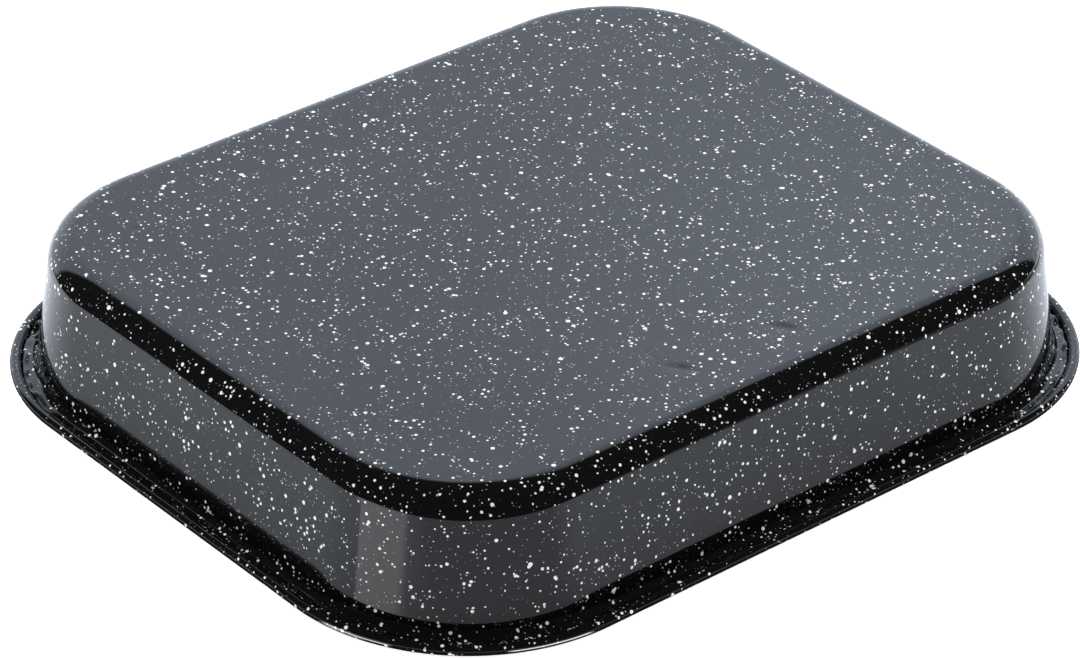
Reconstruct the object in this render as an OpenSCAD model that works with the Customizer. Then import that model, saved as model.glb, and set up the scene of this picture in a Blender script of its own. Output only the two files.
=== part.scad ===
// Granite roasting pan, drawn upside down on its rim as it is stored to drain.
// One steel sheet, pressed to a tray with leaning walls, flared to a narrow
// flange and rolled over at the edge to a hollow bead, then enamelled all over.
// The base is up, and the origin is the centre of the rim's resting plane.

/* [Pan] */
// Length over the rolled rim
rim_length = 360; // [260:1:480]
// Width over the rolled rim
rim_width = 310; // [220:1:420]
// Height from the resting rim to the outside of the base
pan_height = 56.3; // [35:0.1:90]
// Outline radius of the rim at each corner
rim_corner_r = 79; // [50:1:105]

/* [Sheet] */
// Thickness of the enamelled sheet
sheet_t = 1; // [0.6:0.1:1.6]
// Lean of the walls from upright, in degrees
wall_lean = 7.6; // [2:0.1:15]
// Outside radius where the base turns into the walls
base_edge_r = 11.1; // [5:0.1:18]

/* [Rim] */
// Radius of the hollow where a wall flares into the flange
flare_r = 3; // [1:0.1:8]
// Level ring between the flare and the bead
flange_w = 3.3; // [0.5:0.1:12]
// Outside radius of the rolled bead
bead_r = 2.1; // [1.9:0.1:4]
// Slit between the rolled edge and the flange
curl_gap = 0.35; // [0.2:0.05:0.6]

/* [Hidden] */
$fn = 96;
enamel_black = "#15171a";
right_angle = 90;

// Corner centres, anticlockwise: every outline of the pan is concentric about these
centre_x = rim_length / 2 - rim_corner_r;
centre_y = rim_width / 2 - rim_corner_r;
corner_centres = [
    [centre_x, centre_y],
    [-centre_x, centre_y],
    [-centre_x, -centre_y],
    [centre_x, -centre_y]
];

// The section runs outwards from a corner centre (x) and up from the rim (y)
wall_normal = [cos(wall_lean), sin(wall_lean)];
bead_c = [rim_corner_r - bead_r, bead_r];
flare_c = [bead_c.x - bead_r - flange_w, sheet_t + flare_r];
wall_foot = flare_c - flare_r * wall_normal;
base_edge_y = pan_height - base_edge_r;
base_edge_x = (wall_foot * wall_normal - base_edge_r - base_edge_y * wall_normal.y) / wall_normal.x;
base_edge_c = [base_edge_x, base_edge_y];
wall_head = base_edge_c + base_edge_r * wall_normal;

// Circular bend of the sheet about c, from r_in to r_in + sheet_t, between two directions
module bend(c, r_in, from, to) {
    reach = 2 * (r_in + sheet_t);
    translate(c)
        intersection() {
            difference() {
                circle(r_in + sheet_t);
                circle(r_in);
            }
            polygon([
                [0, 0],
                reach * [cos(from), sin(from)],
                reach * [cos((from + to) / 2), sin((from + to) / 2)],
                reach * [cos(to), sin(to)]
            ]);
        }
}

// Rolled edge: a hollow bead whose free end stops just above the flange
module rolled_edge() {
    curl_end = sheet_t + curl_gap;
    difference() {
        translate(bead_c)
            difference() {
                circle(bead_r);
                circle(bead_r - sheet_t);
            }
        translate([bead_c.x - 2 * bead_r, -bead_r])
            square([2 * bead_r, curl_end + bead_r]);
    }
}

// Section through base, base edge, wall, flare, flange and bead
module sheet_section() {
    translate([0, pan_height - sheet_t])
        square([base_edge_c.x, sheet_t]);
    bend(base_edge_c, base_edge_r - sheet_t, wall_lean, right_angle);
    polygon([
        wall_foot,
        wall_head,
        wall_head - sheet_t * wall_normal,
        wall_foot - sheet_t * wall_normal
    ]);
    bend(flare_c, flare_r, 2 * right_angle + wall_lean, 3 * right_angle);
    translate([flare_c.x, 0])
        square([bead_c.x - flare_c.x, sheet_t]);
    rolled_edge();
}

// Quarter turn of the pan about a corner centre
module corner() {
    rotate_extrude(angle = right_angle)
        sheet_section();
}

// Straight side of the pan: the section, run on clockwise from a corner centre
module side(run) {
    rotate([right_angle, 0, 0])
        linear_extrude(run)
            sheet_section();
}

module roasting_pan() {
    color(enamel_black) {
        for (i = [0:3])
            translate(corner_centres[i])
                rotate([0, 0, right_angle * i]) {
                    corner();
                    side(2 * (i % 2 == 0 ? centre_y : centre_x));
                }
        translate([-centre_x, -centre_y, pan_height - sheet_t])
            cube([2 * centre_x, 2 * centre_y, sheet_t]);
    }
}

roasting_pan();
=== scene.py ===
# Roasting pan in speckled black enamel, resting upside down on its rim
import math

import bpy
from mathutils import Matrix, Vector


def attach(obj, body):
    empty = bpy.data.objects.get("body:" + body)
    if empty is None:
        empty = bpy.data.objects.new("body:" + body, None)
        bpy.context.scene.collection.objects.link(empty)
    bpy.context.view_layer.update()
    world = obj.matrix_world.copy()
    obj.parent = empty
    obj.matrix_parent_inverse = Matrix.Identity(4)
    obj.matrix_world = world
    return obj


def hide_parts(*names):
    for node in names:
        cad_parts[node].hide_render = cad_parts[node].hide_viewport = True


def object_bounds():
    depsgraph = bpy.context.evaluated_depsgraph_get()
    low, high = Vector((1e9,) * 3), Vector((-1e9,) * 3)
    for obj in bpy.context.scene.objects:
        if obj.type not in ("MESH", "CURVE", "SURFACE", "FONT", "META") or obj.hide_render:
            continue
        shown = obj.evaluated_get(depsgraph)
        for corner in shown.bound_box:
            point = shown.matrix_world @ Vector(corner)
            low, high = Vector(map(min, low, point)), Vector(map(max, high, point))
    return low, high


print("Loading the frame")
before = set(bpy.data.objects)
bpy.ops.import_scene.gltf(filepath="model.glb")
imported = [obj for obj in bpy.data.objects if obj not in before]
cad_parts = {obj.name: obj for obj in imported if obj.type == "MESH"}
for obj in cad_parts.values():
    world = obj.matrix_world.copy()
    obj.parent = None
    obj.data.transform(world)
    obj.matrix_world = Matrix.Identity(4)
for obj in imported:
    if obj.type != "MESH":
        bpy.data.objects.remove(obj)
cadLow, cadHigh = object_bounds()
mm = 0.001


def srgb(hexColour):
    channels = [int(hexColour[i : i + 2], 16) / 255 for i in (1, 3, 5)]
    return tuple(c / 12.92 if c <= 0.04045 else ((c + 0.055) / 1.055) ** 2.4 for c in channels)


def addNode(tree, kind, inputs, **settings):
    node = tree.nodes.new("ShaderNode" + kind)
    for name, value in settings.items():
        setattr(node, name, value)
    for socket, value in inputs.items():
        if isinstance(value, bpy.types.NodeSocket):
            tree.links.new(value, node.inputs[socket])
        else:
            node.inputs[socket].default_value = value
    return node


# Camera: where the photograph was taken from
print("Placing the camera")
shot = {
    "turn": -40.37,  # degrees round the pan, 0 looks along +Y
    "rise": 32.08,  # degrees above the floor
    "roll": 0.695,  # degrees
    "distance": 1.8649,  # metres from the middle of the rim's resting plane
    "lens": 161.66,  # mm
    "sensor": 36,  # mm wide
    "shift": (-0.00613, 0.02117),  # of the lens, in picture widths: the photograph is a crop
    "clip": (0.05, 50),  # metres, nearest and farthest that is drawn
}
# Turns what is given rightwards and away, as the camera sees the floor, to the pan's own axes
view = Matrix.Rotation(math.radians(shot["turn"]), 4, "Z")


def placeCamera():
    tilt = Matrix.Rotation(math.radians(90 - shot["rise"]), 4, "X")
    roll = Matrix.Rotation(math.radians(shot["roll"]), 4, "Z")
    reach = Matrix.Translation((0, 0, shot["distance"]))
    camera = bpy.data.objects.new("camera", bpy.data.cameras.new("camera"))
    camera.data.lens = shot["lens"]
    camera.data.sensor_width = shot["sensor"]
    camera.data.shift_x, camera.data.shift_y = shot["shift"]
    camera.data.clip_start, camera.data.clip_end = shot["clip"]
    camera.matrix_world = view @ tilt @ roll @ reach
    bpy.context.collection.objects.link(camera)
    bpy.context.scene.camera = camera


placeCamera()

# The pressed pan: one quarter of the sheet's outer side is drawn, then mirrored twice
print("Pressing the pan")
pan = {
    "cornerRadius": 79 * mm,  # of the rim's outline
    "sheet": 1 * mm,
    "lean": math.radians(7.6),  # of the walls from upright
    "baseEdge": 11.1 * mm,  # radius of the bend from the base to a wall
    "flare": 3 * mm,  # radius of the bend from a wall to the flange
    "flange": 3.3 * mm,
    "bead": 2.1 * mm,
    "curlEnd": math.radians(200),  # where the rolled edge stops, from straight outwards
    "crease": math.radians(40),  # the cut edge stays sharp, and all else is shaded smooth
    "slab": (25, 19),  # squares over a quarter of the flat base, up to the corner's centre
    "borderSteps": 12,  # from there to the edge of the flat base
    "edgeSteps": 24,
    "wallSteps": 9,
    "flareSteps": 10,
    "flangeSteps": 8,
    "curlSteps": 28,
    "cornerSteps": 56,
    "support": 0.4 * mm,  # narrow band beside each bend, keeps the flats flat
    "slack": 0.01 * mm,  # points nearer than this are taken as one
}
# Centre of the pan's back right corner, about which all its outlines turn
corner = Vector((cadHigh.x - pan["cornerRadius"], cadHigh.y - pan["cornerRadius"], 0))


def panSection():
    # Centres of the bends, and head and foot of a wall: outwards from the corner's centre, and up
    lean = pan["lean"]
    normal = Vector((math.cos(lean), math.sin(lean)))
    bead = Vector((pan["cornerRadius"] - pan["bead"], pan["bead"]))
    flare = Vector((bead.x - pan["bead"] - pan["flange"], pan["sheet"] + pan["flare"]))
    foot = flare - pan["flare"] * normal
    edgeHeight = cadHigh.z - pan["baseEdge"]
    edgeOut = (foot.dot(normal) - pan["baseEdge"] - edgeHeight * normal.y) / normal.x
    edge = Vector((edgeOut, edgeHeight))
    head = edge + pan["baseEdge"] * normal
    return {"bead": bead, "flare": flare, "foot": foot, "edge": edge, "head": head}


section = panSection()


def selectEdges(test):
    # Selects the edges whose two ends both pass the test
    bpy.ops.mesh.select_all(action="DESELECT")
    bpy.ops.object.mode_set(mode="OBJECT")
    mesh = bpy.context.object.data
    for edge in mesh.edges:
        edge.select = all(test(mesh.vertices[v].co) for v in edge.vertices)
    bpy.ops.object.mode_set(mode="EDIT")


def stretches(length, count):
    # Steps along a flat, with a narrow support band at both ends
    inner = (length - 2 * pan["support"]) / count
    return [pan["support"]] + [inner] * count + [pan["support"]]


def pressSide(outwards, centre):
    # Carries the selected row of edges outwards over the section. Spin turns clockwise about its axis
    along = outwards.cross(Vector((0, 0, 1)))

    def run(direction, steps):
        for step in steps:
            move = outwards * direction.x * step + Vector((0, 0, direction.y * step))
            bpy.ops.mesh.extrude_region_move(TRANSFORM_OT_translate={"value": move})

    def bend(point, turn, steps):
        middle = centre + outwards * point.x + Vector((0, 0, point.y))
        bpy.ops.mesh.spin(steps=steps, angle=turn, center=middle, axis=along)

    lean = pan["lean"]
    wall = section["foot"] - section["head"]
    run(Vector((1, 0)), stretches(section["edge"].x, pan["borderSteps"]))
    bend(section["edge"], math.pi / 2 - lean, pan["edgeSteps"])
    run(wall.normalized(), stretches(wall.length, pan["wallSteps"]))
    bend(section["flare"], -(math.pi / 2 - lean), pan["flareSteps"])
    run(Vector((1, 0)), stretches(section["bead"].x - section["flare"].x, pan["flangeSteps"]))
    bend(section["bead"], -(math.pi / 2 + pan["curlEnd"]), pan["curlSteps"])


def makePan():
    near = pan["slack"]
    squaresX, squaresY = pan["slab"]
    bpy.ops.object.select_all(action="DESELECT")
    bpy.ops.mesh.primitive_grid_add(
        x_subdivisions=squaresX,
        y_subdivisions=squaresY,
        size=1,
        location=(corner.x / 2, corner.y / 2, cadHigh.z),
    )
    shell = bpy.context.object
    shell.name = "enamelled_pan"
    shell.scale = (corner.x, corner.y, 1)
    bpy.ops.object.transform_apply(location=True, rotation=False, scale=True)
    bpy.ops.object.mode_set(mode="EDIT")

    selectEdges(lambda v: v.y > corner.y - near)
    pressSide(Vector((0, 1, 0)), Vector((0, corner.y, 0)))
    selectEdges(lambda v: v.x > corner.x - near and v.y < corner.y + near)
    pressSide(Vector((1, 0, 0)), Vector((corner.x, 0, 0)))
    selectEdges(lambda v: v.x > corner.x - near and abs(v.y - corner.y) < near)
    bpy.ops.mesh.spin(steps=pan["cornerSteps"], angle=math.pi / 2, center=corner, axis=(0, 0, -1))
    bpy.ops.object.mode_set(mode="OBJECT")

    halves = shell.modifiers.new("halves", "MIRROR")
    halves.use_axis = (True, True, False)
    bpy.ops.object.modifier_apply(modifier=halves.name)
    bpy.ops.object.mode_set(mode="EDIT")
    bpy.ops.mesh.select_all(action="SELECT")
    bpy.ops.mesh.remove_doubles(threshold=near)
    # The outermost faces line the hollow of the bead, so the sheet's outer side is the inside here
    bpy.ops.mesh.normals_make_consistent(inside=True)
    bpy.ops.object.mode_set(mode="OBJECT")
    return shell


panShell = makePan()

# Pressing and use leave the base faintly wavy, the rim's corners puckered, and a few shallow dents
print("Wearing the sheet")
wear = {
    "baseWave": 0.35 * mm,  # the waves stay shallower than this
    "baseWaveWidth": 75 * mm,
    "baseFade": 30 * mm,  # the waves die out towards the base's edge
    "baseBand": 0.1 * mm,  # the flat base is what lies this near to the top
    "cornerFlare": 5.5 * mm,  # the drawn corners bend to the flange on a wider radius than the sides
    "flareFade": 4.5 * mm,  # height of wall over which that change dies out
    "cornerFade": 24 * mm,  # length of rim over which a corner's wear dies out
    "rimWave": 3 * mm,  # the puckers stay lower than this
    "rimWaveWidth": 5.4 * mm,
    "rimFlat": 0.12,  # troughs under this share of the waves are left flat
    "ridgeBack": 0.9 * mm,  # from the bead's inner side to the ridge of a pucker
    "ridgeIn": 3.4 * mm,  # reach of a pucker from its ridge, towards the wall and towards the bead
    "ridgeOut": 1.1 * mm,
    "flangeBand": 0.2 * mm,  # past the ridge, what is higher than this above the flange is the bead
    "dentFine": (16 * mm, 12 * mm),  # the mesh is halved this near to a dent, and then once more
}
# Middle, half length and half width, the way it points in degrees, and depth
dents = [
    {"middle": (20 * mm, -110 * mm), "half": (9 * mm, 4.2 * mm), "turn": -56, "depth": 0.36 * mm},
    {"middle": (-28 * mm, -107 * mm), "half": (7.5 * mm, 4 * mm), "turn": -54, "depth": 0.31 * mm},
    {"middle": (-122 * mm, 96 * mm), "half": (3.5 * mm, 2.5 * mm), "turn": 20, "depth": 0.15 * mm},
    {"middle": (14 * mm, -90 * mm), "half": (16 * mm, 1.6 * mm), "turn": 80, "depth": 0.05 * mm},
    {"middle": (-30 * mm, -86 * mm), "half": (16 * mm, 1.6 * mm), "turn": 88, "depth": 0.05 * mm},
]
baseHeight = cadHigh.z - wear["baseBand"]


def smooth(share):
    share = min(max(share, 0), 1)
    return share * share * (3 - 2 * share)


def outFromCorner(v):
    # Distance outwards from the line through the corners' centres
    return math.hypot(max(abs(v.x) - corner.x, 0), max(abs(v.y) - corner.y, 0))


def inCorner(v):
    # 1 in the corners, 0 along the sides
    fade = wear["cornerFade"]
    return smooth((min(abs(v.x) - corner.x, abs(v.y) - corner.y) + fade / 2) / fade)


def baseShare(v):
    # 1 on the base, 0 from its edge outwards
    return smooth((section["edge"].x - outFromCorner(v)) / wear["baseFade"]) if v.z > baseHeight else 0


def rimShare(v):
    # 1 along the ridge of the corners' flange, 0 on wall and bead
    past = outFromCorner(v) - (section["bead"].x - pan["bead"] - wear["ridgeBack"])
    across = 1 - max(past / wear["ridgeOut"], -past / wear["ridgeIn"])
    onBead = past > 0 and v.z > pan["sheet"] + wear["flangeBand"]
    return 0 if onBead or v.z > section["foot"].y else inCorner(v) * smooth(across)


def flareLift(v):
    # How far a point of the flare rises, where the corner's wider radius touches the same wall. It is
    # given as a share of the height over which it dies out
    wide = wear["cornerFlare"]
    foot = section["foot"]
    rise = pan["sheet"] + wide - foot.y
    end = foot.x + (wide - rise * math.sin(pan["lean"])) / math.cos(pan["lean"])
    inwards = end - max(outFromCorner(v), foot.x)
    if inwards < 0 or v.z > foot.y + wear["flareFade"]:
        return 0
    lift = pan["sheet"] + wide - math.sqrt(wide**2 - inwards**2) - min(v.z, foot.y)
    fade = smooth(1 - (v.z - foot.y) / wear["flareFade"])
    return max(lift, 0) * fade * inCorner(v) / wear["flareFade"]


def dentShare(v, dent):
    # 1 in the middle of the dent, 0 from its outline outwards
    if v.z < baseHeight - wear["baseWave"]:
        return 0
    offset = Matrix.Rotation(-math.radians(dent["turn"]), 2) @ (v.xy - Vector(dent["middle"]))
    return smooth(1 - math.hypot(offset.x / dent["half"][0], offset.y / dent["half"][1]))


def refineAround(middle):
    # Two rings of finer faces about a dent
    mesh = bpy.context.object.data
    for reach in wear["dentFine"]:
        bpy.ops.object.mode_set(mode="EDIT")
        bpy.ops.mesh.select_all(action="DESELECT")
        bpy.ops.object.mode_set(mode="OBJECT")
        for face in mesh.polygons:
            close = (face.center.xy - Vector(middle)).length < reach
            face.select = close and face.center.z > baseHeight
        bpy.ops.object.mode_set(mode="EDIT")
        bpy.ops.mesh.subdivide(number_cuts=1)
        bpy.ops.object.mode_set(mode="OBJECT")


def pushIn(shell, name, weight, strength, midLevel, waveWidth=None, flat=0):
    # Moves the points up by their weight, or down where the strength is negative
    group = shell.vertex_groups.new(name=name)
    for vertex in shell.data.vertices:
        share = weight(vertex.co)
        if share > 0:
            group.add([vertex.index], share, "REPLACE")
    push = shell.modifiers.new(name, "DISPLACE")
    push.vertex_group = group.name
    push.direction = "Z"
    push.strength = strength
    push.mid_level = midLevel
    if waveWidth:
        push.texture = bpy.data.textures.new(name, "CLOUDS")
        push.texture.noise_scale = waveWidth
        push.texture.noise_depth = 0
        push.texture.intensity = 1 - flat
        push.texture.use_clamp = True
    bpy.ops.object.modifier_apply(modifier=push.name)
    shell.vertex_groups.clear()


def wearSheet(shell):
    for dent in dents:
        refineAround(dent["middle"])
    pushIn(shell, "baseWaves", baseShare, wear["baseWave"], 1, wear["baseWaveWidth"])
    pushIn(shell, "cornerFlare", flareLift, wear["flareFade"], 0)
    pushIn(shell, "rimWaves", rimShare, wear["rimWave"], 0, wear["rimWaveWidth"], wear["rimFlat"])
    for dent in dents:
        pushIn(shell, "dent", lambda v: dentShare(v, dent), -dent["depth"], 0)


def giveThickness(shell):
    # Up to here the shell is the sheet's outer side alone
    sheet = shell.modifiers.new("sheet", "SOLIDIFY")
    sheet.thickness = pan["sheet"]
    sheet.offset = -1
    sheet.use_even_offset = True
    bpy.ops.object.modifier_apply(modifier=sheet.name)
    bpy.ops.object.shade_smooth_by_angle(angle=pan["crease"])


wearSheet(panShell)
giveThickness(panShell)
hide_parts("roasting_pan")
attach(panShell, "root")

# Vitreous enamel: a glassy black coat fired on steel, with white enamel spattered into it before firing
print("Firing the enamel")
enamel = {
    "black": "#0b0b0b",
    "white": "#dededc",
    "ior": 1.52,
    "roughness": 0.05,
    "peel": 9 * mm,  # width of the slight waves that a fired coat keeps
    "peelDepth": 0.003 * mm,
    "ragged": 0.16 * mm,  # how far the edge of a speckle strays from round
    "raggedWidth": 0.8 * mm,
    "softness": 0.05 * mm,  # of a speckle's edge
    "crowd": 7 * mm,  # width of the crowds that the spatter falls in
    "crowdEdges": (0.38, 0.62),  # values of the crowds' noise where the spatter is sparsest and densest
    "apart": 137 * mm,  # shift between the sizes, so that they don't fall in the same places
}
# Each size of spatter: spacing, largest radius, how quickly the sizes fall off, how much enamel covers
# the black, and the share of its size that a speckle keeps between the crowds
spatter = [
    {"spacing": 4.7 * mm, "radius": 0.9 * mm, "falloff": 1.2, "cover": 1.0, "sparse": 1.0},
    {"spacing": 2.5 * mm, "radius": 0.58 * mm, "falloff": 0.9, "cover": 1.0, "sparse": 0.7},
    {"spacing": 1.6 * mm, "radius": 0.27 * mm, "falloff": 0.8, "cover": 0.5, "sparse": 0.5},
]


def oneSpatter(tree, size, shift, place, crowd):
    # How much white enamel of this size covers the black
    shifted = addNode(tree, "Mapping", {"Vector": place, "Location": [shift] * 3})
    cells = addNode(tree, "TexVoronoi", {"Vector": shifted.outputs[0], "Scale": 1 / size["spacing"]})
    chance = addNode(tree, "SeparateColor", {0: cells.outputs["Color"]})
    share = addNode(tree, "Math", {0: chance.outputs[0], 1: size["falloff"]}, operation="POWER")
    sparsest, densest = enamel["crowdEdges"]
    largest = size["radius"] / size["spacing"]
    grown = addNode(
        tree,
        "MapRange",
        {
            "Value": crowd,
            "From Min": sparsest,
            "From Max": densest,
            "To Min": size["sparse"] * largest,
            "To Max": (2 - size["sparse"]) * largest,
        },
    )
    radius = addNode(tree, "Math", {0: share.outputs[0], 1: grown.outputs[0]}, operation="MULTIPLY")
    inside = addNode(
        tree, "Math", {0: radius.outputs[0], 1: cells.outputs["Distance"]}, operation="SUBTRACT"
    )
    soft = enamel["softness"] / size["spacing"]
    return addNode(
        tree,
        "MapRange",
        {"Value": inside.outputs[0], "From Min": -soft, "From Max": soft, "To Max": size["cover"]},
        interpolation_type="SMOOTHSTEP",
    ).outputs[0]


def speckledEnamel():
    # Deep gloss that mirrors the room, with crisp white specks lying under the glass
    material = bpy.data.materials.new("speckled_vitreous_enamel")
    material.use_nodes = True
    tree = material.node_tree
    tree.nodes.clear()
    place = addNode(tree, "TexCoord", {}).outputs["Object"]
    stray = addNode(tree, "TexNoise", {"Vector": place, "Scale": 1 / enamel["raggedWidth"], "Detail": 1})
    centred = addNode(
        tree, "VectorMath", {0: stray.outputs["Color"], 1: (0.5, 0.5, 0.5)}, operation="SUBTRACT"
    )
    strayed = addNode(
        tree,
        "VectorMath",
        {0: centred.outputs[0], 1: [2 * enamel["ragged"]] * 3, 2: place},
        operation="MULTIPLY_ADD",
    )
    crowd = addNode(tree, "TexNoise", {"Vector": place, "Scale": 1 / enamel["crowd"], "Detail": 1})
    cover = 0
    for number, size in enumerate(spatter, 1):
        specks = oneSpatter(tree, size, number * enamel["apart"], strayed.outputs[0], crowd.outputs[0])
        cover = addNode(tree, "Math", {0: cover, 1: specks}, operation="MAXIMUM").outputs[0]
    colour = addNode(
        tree,
        "Mix",
        {0: cover, 6: (*srgb(enamel["black"]), 1), 7: (*srgb(enamel["white"]), 1)},
        data_type="RGBA",
    )
    peel = addNode(tree, "TexNoise", {"Vector": place, "Scale": 1 / enamel["peel"], "Detail": 0})
    bump = addNode(tree, "Bump", {"Height": peel.outputs[0], "Distance": enamel["peelDepth"]})
    coat = addNode(
        tree,
        "BsdfPrincipled",
        {
            "Base Color": colour.outputs[2],
            "Roughness": enamel["roughness"],
            "IOR": enamel["ior"],
            "Normal": bump.outputs[0],
        },
    )
    addNode(tree, "OutputMaterial", {"Surface": coat.outputs[0]})
    return material


panShell.data.materials.clear()
panShell.data.materials.append(speckledEnamel())

# Studio: a white floor, a lit backdrop behind the pan, and soft lights overhead and at the sides.
# Its lengths are metres, except where they say mm
print("Lighting the studio")
floorPaper = {"colour": "#f4f6f8", "width": 12.0, "roughness": 0.9, "glow": 0.8}


def whitePaper():
    # Matt white paper, lit until it is plain white
    material = bpy.data.materials.new("white_paper")
    material.use_nodes = True
    coat = material.node_tree.nodes["Principled BSDF"]
    coat.inputs["Base Color"].default_value = (*srgb(floorPaper["colour"]), 1)
    coat.inputs["Roughness"].default_value = floorPaper["roughness"]
    coat.inputs["Emission Color"].default_value = (1, 1, 1, 1)
    coat.inputs["Emission Strength"].default_value = floorPaper["glow"]
    return material


def layFloor():
    bpy.ops.object.select_all(action="DESELECT")
    bpy.ops.mesh.primitive_plane_add(size=floorPaper["width"])
    floor = bpy.context.object
    floor.name = "floor"
    floor.data.materials.append(whitePaper())
    floor.visible_glossy = False


# The card is the part of the floor that the enamel mirrors, and carries painted light and shade: past its
# edges the room is dark. Left, right, front and back are as the camera sees them from the pan's middle
card = {
    "colour": "#dfe5ee",
    # Painted shadow: the card takes this colour near the rim, in the gap, and partly before the front
    # corner
    "shadow": "#404043",
    "roughness": 0.9,
    "lift": 0.02 * mm,  # above the floor
    "left": 0.36,
    "right": 0.8,
    "front": 0.36,
    "back": 1.5,
    # The painted shadow lies this far past the rim, then fades out
    "shadowReach": 5.5 * mm,  # past the rim
    "shadowFade": 2 * mm,
    # Painted shade: in the gap the card takes its shadow colour and gives no glow; the strip past it glows
    # with painted light
    "gap": (0.36, 0.41),  # black gap to the right, and past it a dim strip
    "gapFade": 2 * mm,
    "stripGlow": 0.25,
    "gapEnd": 0.16,  # the gap closes from this far behind the pan's middle
    "gapEndFade": 80 * mm,
    # Painted light: the card glows more behind the pan
    "backGlow": 0.4,  # more light behind the pan, from this far before its middle backwards
    "backStart": -0.03,
    "backFade": 90 * mm,
}
# Painted shade makes the card straight before the front corner a little darker: its turns are angles left
# and right of the camera's direction from the corner's centre
nearShade = {"turns": (-30, 56), "fade": 40 * mm, "share": 0.3}
# A wedge of painted light, where the card glows left of the front corner: sharp on its left side, fading
# out on its right.
# Each side is a place, rightwards and away from the corner's centre, and the way across it, into the wedge
wedge = {
    "glow": 1.0,
    "sides": [
        {"place": (-0.0396, -0.0566), "across": (0.3216, -0.947), "fade": 2 * mm},
        {"place": (-0.0208, -0.0679), "across": (-0.809, 0.588), "fade": 12 * mm},
    ],
}
# Arcs of painted light, where the card glows close to the rim, which only the bead mirrors as glints: turns
# as above, and reach past the rim
glints = [
    {"turns": (-42, -19), "reach": (1.8 * mm, 5 * mm), "glow": 16},
    {"turns": (-42, -26), "reach": (0.4 * mm, 1.2 * mm), "glow": 10},
    {"turns": (11, 37), "reach": (1.2 * mm, 5 * mm), "glow": 16},
]
# Widths over which the ends and the sides of an arc fade
glintFade = {"turns": 4 * mm, "reach": 0.5 * mm}


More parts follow.
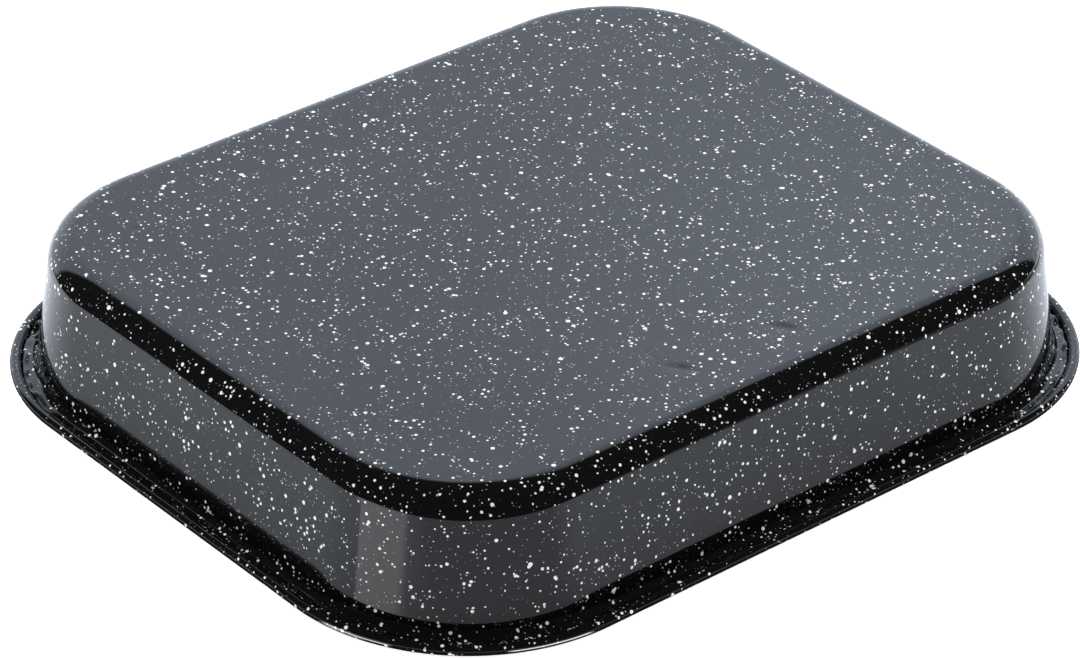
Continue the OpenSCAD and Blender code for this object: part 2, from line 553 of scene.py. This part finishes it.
def paintedLightCard():
    # Matt white card with painted light and shade: painted shadow close to the rim and in the gap, a darker
    # painted shade before the front corner, and glowing patches of painted light
    material = bpy.data.materials.new("card_painted_light")
    material.use_nodes = True
    tree = material.node_tree
    place = addNode(tree, "TexCoord", {}).outputs["Object"]
    beside = addNode(tree, "VectorMath", {0: place}, operation="ABSOLUTE")
    past = addNode(
        tree, "VectorMath", {0: beside.outputs[0], 1: (corner.x, corner.y, 1)}, operation="SUBTRACT"
    )
    outside = addNode(tree, "VectorMath", {0: past.outputs[0], 1: (0, 0, 0)}, operation="MAXIMUM")
    away = addNode(tree, "VectorMath", {0: outside.outputs[0]}, operation="LENGTH")
    panMiddle = view.inverted() @ corner

    def fromRim(reach, fade):
        # Share of light that grows from this far past the rim, or ends there where the fade is negative
        start = pan["cornerRadius"] + reach
        return addNode(
            tree,
            "MapRange",
            {"Value": away.outputs["Value"], "From Min": start, "From Max": start + fade},
            interpolation_type="SMOOTHSTEP",
        ).outputs[0]

    def fromLine(start, across, fade):
        # Share of light past a line on the card, given as the camera sees it from the front corner's centre
        start = view @ Vector((*start, 0)) - corner
        offset = addNode(tree, "VectorMath", {0: place, 1: start}, operation="SUBTRACT")
        way = view @ Vector((*across, 0))
        depth = addNode(tree, "VectorMath", {0: offset.outputs[0], 1: way}, operation="DOT_PRODUCT")
        return addNode(
            tree,
            "MapRange",
            {"Value": depth.outputs["Value"], "From Min": 0, "From Max": fade},
            interpolation_type="SMOOTHSTEP",
        ).outputs[0]

    def betweenTurns(turns, fade):
        left, right = (math.radians(turn) for turn in turns)
        return [
            fromLine((0, 0), (math.cos(left), math.sin(left)), fade),
            fromLine((0, 0), (-math.cos(right), -math.sin(right)), fade),
        ]

    def whereAll(level, shares):
        # This level of light, where all the shares are full
        for share in shares:
            level = addNode(tree, "Math", {0: level, 1: share}, operation="MULTIPLY").outputs[0]
        return level

    # Painted shadow close to the rim
    clear = fromRim(card["shadowReach"], card["shadowFade"])
    gapStart, gapStop = (panMiddle.x + reach for reach in card["gap"])
    # The gap's painted shade, and the painted light of the strip past it
    beforeGap = fromLine((gapStart, 0), (-1, 0), card["gapFade"])
    gapClosed = fromLine((0, panMiddle.y + card["gapEnd"]), (0, 1), card["gapEndFade"])
    ungapped = addNode(tree, "Math", {0: beforeGap, 1: gapClosed}, operation="MAXIMUM").outputs[0]
    strip = fromLine((gapStop, 0), (1, 0), card["gapFade"])
    behind = fromLine((0, panMiddle.y + card["backStart"]), (0, 1), card["backFade"])
    # Painted shade before the front corner
    shade = whereAll(nearShade["share"], betweenTurns(nearShade["turns"], nearShade["fade"]))
    unshaded = addNode(tree, "Math", {0: 1, 1: shade}, operation="SUBTRACT").outputs[0]
    sides = [fromLine(side["place"], side["across"], side["fade"]) for side in wedge["sides"]]
    # Glows of painted light: the wedge, the strip and the card behind the pan
    glows = [
        whereAll(wedge["glow"], [clear, *sides]),
        whereAll(card["stripGlow"], [strip]),
        whereAll(card["backGlow"], [clear, ungapped, behind]),
    ]
    # Arcs of painted light that the bead mirrors as glints
    for glint in glints:
        inner, outer = glint["reach"]
        ring = [fromRim(inner, glintFade["reach"]), fromRim(outer, -glintFade["reach"])]
        glows.append(whereAll(glint["glow"], betweenTurns(glint["turns"], glintFade["turns"]) + ring))
    # The card glows with the sum of this painted light, though it is no lamp
    light = 0
    for glow in glows:
        light = addNode(tree, "Math", {0: light, 1: glow}, operation="ADD").outputs[0]
    # The card's colour carries the painted shadow and the painted shade
    lit = whereAll(1, [clear, ungapped, unshaded])
    colour = addNode(
        tree,
        "Mix",
        {0: lit, 6: (*srgb(card["shadow"]), 1), 7: (*srgb(card["colour"]), 1)},
        data_type="RGBA",
    )
    coat = tree.nodes["Principled BSDF"]
    coat.inputs["Roughness"].default_value = card["roughness"]
    coat.inputs["Emission Color"].default_value = (1, 1, 1, 1)
    tree.links.new(light, coat.inputs["Emission Strength"])
    tree.links.new(colour.outputs[2], coat.inputs["Base Color"])
    return material


def layCard():
    bpy.ops.object.select_all(action="DESELECT")
    bpy.ops.mesh.primitive_plane_add(size=1)
    plane = bpy.context.object
    plane.name = "card"
    width = card["left"] + card["right"]
    depth = card["front"] + card["back"]
    middle = (card["right"] - width / 2, card["back"] - depth / 2, card["lift"])
    plane.data.transform(view @ Matrix.Translation(middle) @ Matrix.Diagonal((width, depth, 1, 1)))
    plane.data.materials.append(paintedLightCard())
    plane.visible_camera = False
    plane.visible_diffuse = False
    plane.visible_shadow = False


# Turn and rise are degrees as seen from the pan: turn 0 is straight behind it, as the camera looks
softboxes = [
    {"name": "overheadBox", "turn": 0, "rise": 80, "away": 1.6, "size": (1.8, 1.8), "glow": 2.0},
    {"name": "leftFill", "turn": -80, "rise": 35, "away": 0.9, "size": (0.6, 0.6), "glow": 4.0},
    {"name": "rightFill", "turn": 80, "rise": 35, "away": 0.9, "size": (0.6, 0.6), "glow": 4.0},
    {"name": "frontFill", "turn": 180, "rise": 35, "away": 1.8, "size": (1.4, 1.0), "glow": 2.0},
]
backdrop = {
    "name": "backdrop",
    "turn": 0,
    "rise": 0,
    "away": 1.4,
    "size": (5.2, 5.2),
    "glow": 1.42,
    "colour": "#e1edff",
    "soft": 0.14,  # share of a pool's size over which its edge fades
    "foot": (-0.35, -0.31),  # the light starts between these heights: the enamel sees it past the card
}
# Pools of light on the backdrop: middle and half size, sideways and up from the pan
pools = [
    {"middle": (-1.0, 0.3), "half": (1.35, 1.65)},
    {"middle": (0.95, 0.3), "half": (1.2, 1.9)},
]
hotSpot = {"middle": (0.24, 0.95), "half": (0.36, 0.32), "glow": 0.28}


def hangLight(box):
    light = bpy.data.lights.new(box["name"], "AREA")
    light.shape = "RECTANGLE"
    light.size, light.size_y = box["size"]
    # Boxes of all sizes are equally bright for the same glow
    light.energy = box["glow"] * math.pi * light.size * light.size_y
    lamp = bpy.data.objects.new(box["name"], light)
    turn = Matrix.Rotation(math.radians(shot["turn"] - box["turn"]), 4, "Z")
    tilt = Matrix.Rotation(math.radians(box["rise"] - 90), 4, "X")
    lamp.matrix_world = turn @ tilt @ Matrix.Translation((0, 0, box["away"]))
    lamp.visible_camera = False
    bpy.context.collection.objects.link(lamp)
    return lamp


def hangBackdrop():
    # A white cloth behind the pan, lit from behind by two lamps whose pools of light meet in the middle
    light = hangLight(backdrop).data
    light.color = srgb(backdrop["colour"])
    light.use_nodes = True
    tree = light.node_tree
    tree.nodes.clear()
    across = addNode(tree, "NewGeometry", {}).outputs["Parametric"]
    wide, high = backdrop["size"]
    place = addNode(
        tree,
        "VectorMath",
        {0: across, 1: (wide, -high, 0), 2: (-wide / 2, high / 2, 0)},
        operation="MULTIPLY_ADD",
    ).outputs[0]

    def pool(spot, inner, outer):
        # Full light up to the inner share of the pool's size, and none past the outer
        offset = addNode(tree, "VectorMath", {0: place, 1: (*spot["middle"], 0)}, operation="SUBTRACT")
        share = addNode(
            tree, "VectorMath", {0: offset.outputs[0], 1: (*spot["half"], 1)}, operation="DIVIDE"
        )
        length = addNode(tree, "VectorMath", {0: share.outputs[0]}, operation="LENGTH").outputs["Value"]
        return addNode(
            tree,
            "MapRange",
            {"Value": length, "From Min": inner, "From Max": outer, "To Min": 1, "To Max": 0},
            interpolation_type="SMOOTHSTEP",
        ).outputs[0]

    left, right = (pool(spot, 1 - backdrop["soft"], 1 + backdrop["soft"]) for spot in pools)
    both = addNode(tree, "Math", {0: left, 1: right}, operation="MAXIMUM")
    hot = pool(hotSpot, 0, 1)
    glow = addNode(tree, "Math", {0: hot, 1: hotSpot["glow"], 2: both.outputs[0]}, operation="MULTIPLY_ADD")
    height = addNode(tree, "SeparateXYZ", {0: place}).outputs[1]
    dark, clear = backdrop["foot"]
    above = addNode(tree, "MapRange", {"Value": height, "From Min": dark, "From Max": clear})
    strength = addNode(tree, "Math", {0: glow.outputs[0], 1: above.outputs[0]}, operation="MULTIPLY")
    cloth = addNode(tree, "Emission", {"Strength": strength.outputs[0]})
    addNode(tree, "OutputLight", {"Surface": cloth.outputs[0]})


# Faint light from all round, and what the camera sees past the floor
room = {"glow": 0.03, "horizon": 1.0}


def setWorld():
    world = bpy.data.worlds.new("studio")
    bpy.context.scene.world = world
    world.use_nodes = True
    tree = world.node_tree
    tree.nodes.clear()
    ray = addNode(tree, "LightPath", {})
    strength = addNode(
        tree,
        "MapRange",
        {"Value": ray.outputs["Is Camera Ray"], "To Min": room["glow"], "To Max": room["horizon"]},
    )
    pale = addNode(tree, "Background", {"Color": (1, 1, 1, 1), "Strength": strength.outputs[0]})
    addNode(tree, "OutputWorld", {"Surface": pale.outputs[0]})


layFloor()
layCard()
hangBackdrop()
for box in softboxes:
    hangLight(box).visible_glossy = False
setWorld()
bpy.context.scene.view_settings.view_transform = "Standard"

print("Finishing")
